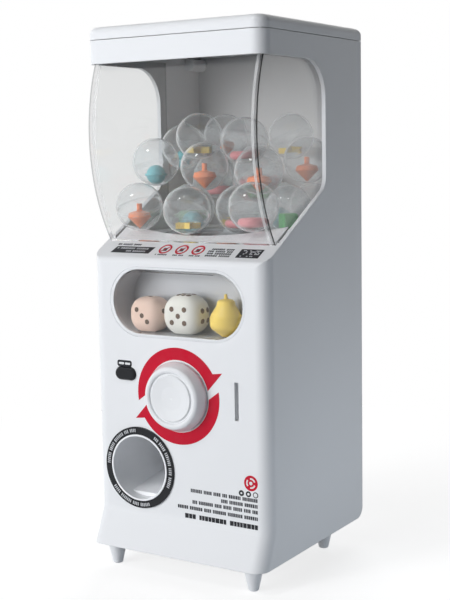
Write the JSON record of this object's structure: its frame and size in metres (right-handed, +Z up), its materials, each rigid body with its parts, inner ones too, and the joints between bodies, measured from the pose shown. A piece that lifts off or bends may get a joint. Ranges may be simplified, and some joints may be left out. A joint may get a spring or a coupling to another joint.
{
  "type": "capsule toy vending machine",
  "caption": "White tabletop vending machine: a clear-fronted hopper of toy capsules, a turning knob with coin slot, and a round outlet below.",
  "frame": {"origin": "bottom centre of the bounding box, on the floor under the feet", "axes": "+Z up; -Y is the front with the knob; +X is to the right seen from the front"},
  "size_m": [0.14, 0.1474, 0.372],
  "materials": {
    "white_plastic": "moulded, semi-gloss",
    "knob_plastic": "moulded, glossy",
    "grey_plastic": "moulded, satin",
    "clear_plastic": "clear moulded sheet",
    "capsule_clear": "clear moulded shell",
    "black_plastic": "glossy black",
    "wheel_plastic": "moulded",
    "bush_plastic": "moulded bearing plastic",
    "steel": "bright steel",
    "toy_peach": "glossy toy plastic",
    "toy_cream": "glossy toy plastic",
    "toy_yellow": "glossy toy plastic",
    "toy_orange": "glossy toy plastic",
    "toy_pink": "glossy toy plastic",
    "toy_green": "glossy toy plastic",
    "toy_teal": "glossy toy plastic"
  },
  "bodies": {
    "cabinet": {"cabinet_shell": "white_plastic", "canopy": "clear_plastic", "back_panel": "white_plastic", "back_screws": "steel", "base_plate": "grey_plastic", "base_screws": "steel", "foot_front_left": "grey_plastic", "foot_front_right": "grey_plastic", "foot_rear_left": "grey_plastic", "foot_rear_right": "grey_plastic", "wheel_deck": "grey_plastic", "deck_screws": "steel", "wheel_bush": "bush_plastic", "hopper_tray": "white_plastic", "shaft_bush": "bush_plastic", "gear_bracket": "grey_plastic", "outlet_ring": "black_plastic", "outlet_cup": "white_plastic", "exit_ramp": "white_plastic", "drop_chute": "grey_plastic", "button_guide": "grey_plastic", "button_spring": "steel", "slot_plate": "steel", "coin_chute": "grey_plastic", "lever_pin": "steel", "display_window": "clear_plastic", "display_tray": "grey_plastic", "display_toy_left": "toy_peach", "display_toy_middle": "toy_cream", "display_toy_right": "toy_yellow", "capsule_domes": "capsule_clear", "capsule_cups": "capsule_clear", "capsule_toys_orange": "toy_orange", "capsule_toys_pink": "toy_pink", "capsule_toys_yellow": "toy_yellow", "capsule_toys_green": "toy_green", "capsule_toys_teal": "toy_teal"},
    "lid": {"top_lid": "white_plastic"},
    "knob": {"knob": "knob_plastic", "knob_shaft": "steel", "lock_disc": "wheel_plastic", "drive_pinion": "wheel_plastic"},
    "wheel": {"dispensing_wheel": "wheel_plastic", "agitator": "wheel_plastic", "wheel_shaft": "steel", "crown_gear": "wheel_plastic", "pocket_domes": "capsule_clear", "pocket_cups": "capsule_clear", "pocket_toys": "toy_green"},
    "lever": {"coin_lever": "wheel_plastic"},
    "button": {"return_button": "black_plastic"},
    "drawer": {"coin_drawer": "grey_plastic"}
  },
  "joints": [
    {"name": "lid_lift", "type": "slide", "parent": "cabinet", "child": "lid", "axis": [0, 0, 1], "range_m": [0, 0.04]},
    {"name": "knob_turn", "type": "hinge", "parent": "cabinet", "child": "knob", "pos_m": [0, -0.06275, 0.1251], "axis": [0, 1, 0], "continuous": true},
    {"name": "wheel_turn", "type": "hinge", "parent": "cabinet", "child": "wheel", "pos_m": [0, 0.01775, 0.2], "axis": [0, 0, 1], "continuous": true},
    {"name": "lever_lift", "type": "hinge", "parent": "cabinet", "child": "lever", "pos_m": [0.026, -0.04525, 0.1501], "axis": [0, 1, 0], "range_deg": [0, 12]},
    {"name": "button_press", "type": "slide", "parent": "cabinet", "child": "button", "axis": [0, 1, 0], "range_m": [0, 0.0016], "stiffness_N_per_m": 300, "deforming": ["button_spring"]},
    {"name": "drawer_slide", "type": "slide", "parent": "cabinet", "child": "drawer", "axis": [0, 1, 0], "range_m": [0, 0.06]}
  ],
  "couplings": [
    {"joint": "wheel_turn", "follows": "knob_turn", "ratio": 0.5}
  ]
}
